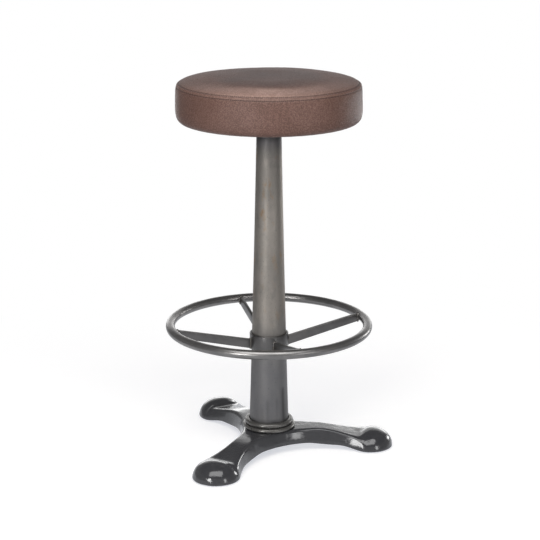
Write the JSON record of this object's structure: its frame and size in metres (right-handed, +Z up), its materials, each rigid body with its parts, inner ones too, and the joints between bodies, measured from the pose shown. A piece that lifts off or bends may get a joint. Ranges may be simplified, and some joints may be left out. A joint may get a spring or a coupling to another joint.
{
  "type": "bar stool",
  "caption": "Bar stool with a round boxed leather seat that swivels on a tapered steel column, a ring footrest on flat spokes and a gloss black cast base with spreading toes.",
  "frame": {"origin": "at floor level on the column's axis, which is also the seat's swivel axis, just under the head of the tie bolt", "axes": "+Z up along the column, +X out along one toe of the base, +Y away from the viewer of the picture"},
  "size_m": [0.4539, 0.4442, 0.752],
  "materials": {
    "gloss_black": "gloss",
    "waxed_steel": "satin",
    "brown_steel": "satin",
    "dark_steel": "satin",
    "brown_leather": "satin",
    "foam": "matte",
    "plywood": "matte",
    "dust_cloth": "matte",
    "zinc_steel": "satin",
    "bush_bronze": "satin",
    "glide_rubber": "matte"
  },
  "bodies": {
    "stool_frame": {"base_casting": "gloss_black", "foot_glide_1": "glide_rubber", "foot_glide_2": "glide_rubber", "foot_glide_3": "glide_rubber", "tie_bolt": "zinc_steel", "tie_bolt_washer": "zinc_steel", "column_tube": "waxed_steel", "column_plug": "zinc_steel", "column_flange": "brown_steel", "column_crown": "waxed_steel", "upper_bush": "bush_bronze", "lower_bush": "bush_bronze", "thrust_washer": "zinc_steel", "foot_ring": "dark_steel", "ring_collar": "dark_steel", "ring_spoke_1": "dark_steel", "ring_spoke_2": "dark_steel", "ring_spoke_3": "dark_steel", "ring_spoke_4": "dark_steel"},
    "seat": {"spindle": "zinc_steel", "stop_washer": "zinc_steel", "spindle_nut": "zinc_steel", "seat_plate": "zinc_steel", "seat_screw_1": "zinc_steel", "seat_screw_2": "zinc_steel", "seat_screw_3": "zinc_steel", "seat_screw_4": "zinc_steel", "seat_board": "plywood", "seat_foam": "foam", "seat_top_panel": "brown_leather", "seat_side_band": "brown_leather", "dust_cover": "dust_cloth"}
  },
  "joints": [
    {"name": "seat_swivel", "type": "hinge", "parent": "stool_frame", "child": "seat", "pos_m": [0, 0, 0.6427], "axis": [0, 0, 1], "continuous": true}
  ]
}
